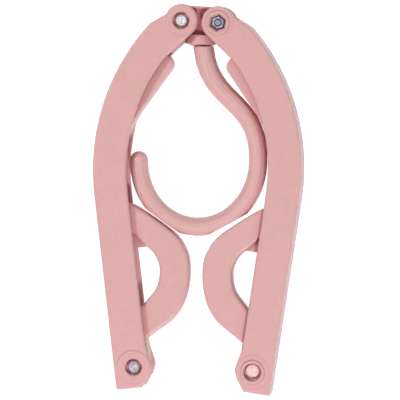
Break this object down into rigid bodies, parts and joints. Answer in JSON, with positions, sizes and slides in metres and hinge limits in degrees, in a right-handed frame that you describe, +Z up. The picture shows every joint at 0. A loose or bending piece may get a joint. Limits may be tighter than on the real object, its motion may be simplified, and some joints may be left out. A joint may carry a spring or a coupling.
{
  "type": "folding travel hanger",
  "caption": "Folding plastic clothes hanger, folded flat: hub with swivel hook, curved channel arms, and looped wings nested in the arms.",
  "frame": {"origin": "centre of the folded hanger's bounding box, at the level of the surface it lies on", "axes": "+Y along the folded length, from the arm ends towards the hub; +Z up, out of the face that the picture shows; +X to the right in the picture"},
  "size_m": [0.0714, 0.1328, 0.013],
  "materials": {
    "pink_plastic": "matte moulded",
    "zinc_plated_steel": "zinc plated"
  },
  "bodies": {
    "hub": {"hub": "pink_plastic"},
    "hook": {"hook": "pink_plastic"},
    "left_arm": {"left_arm_tray": "pink_plastic", "left_arm_cover": "pink_plastic", "left_hub_screw": "zinc_plated_steel", "left_hub_nut": "zinc_plated_steel", "left_wing_screw": "zinc_plated_steel"},
    "right_arm": {"right_arm_tray": "pink_plastic", "right_arm_cover": "pink_plastic", "right_hub_screw": "zinc_plated_steel", "right_hub_nut": "zinc_plated_steel", "right_wing_screw": "zinc_plated_steel"},
    "left_wing": {"left_wing": "pink_plastic"},
    "right_wing": {"right_wing": "pink_plastic"}
  },
  "joints": [
    {"name": "hook_swivel", "type": "hinge", "parent": "hub", "child": "hook", "pos_m": [0.00056, 0.0604, 0.0065], "axis": [0.0541, 0.9985, 0], "range_deg": [-120, 120]},
    {"name": "left_arm_fold", "type": "hinge", "parent": "hub", "child": "left_arm", "pos_m": [-0.00568, 0.06074, 0.0065], "axis": [0, 0, -1], "range_deg": [0, 120.6]},
    {"name": "right_arm_fold", "type": "hinge", "parent": "hub", "child": "right_arm", "pos_m": [0.0068, 0.06006, 0.0065], "axis": [0, 0, 1], "range_deg": [0, 115.7]},
    {"name": "left_wing_fold", "type": "hinge", "parent": "left_arm", "child": "left_wing", "pos_m": [-0.02112, -0.05732, 0.0065], "axis": [0, 0, -1], "range_deg": [0, 180]},
    {"name": "right_wing_fold", "type": "hinge", "parent": "right_arm", "child": "right_wing", "pos_m": [0.01955, -0.05832, 0.0065], "axis": [0, 0, 1], "range_deg": [0, 180]}
  ],
  "couplings": [
    {"joint": "left_wing_fold", "follows": "left_arm_fold", "ratio": 0.28},
    {"joint": "right_wing_fold", "follows": "right_arm_fold", "ratio": 0.15}
  ]
}
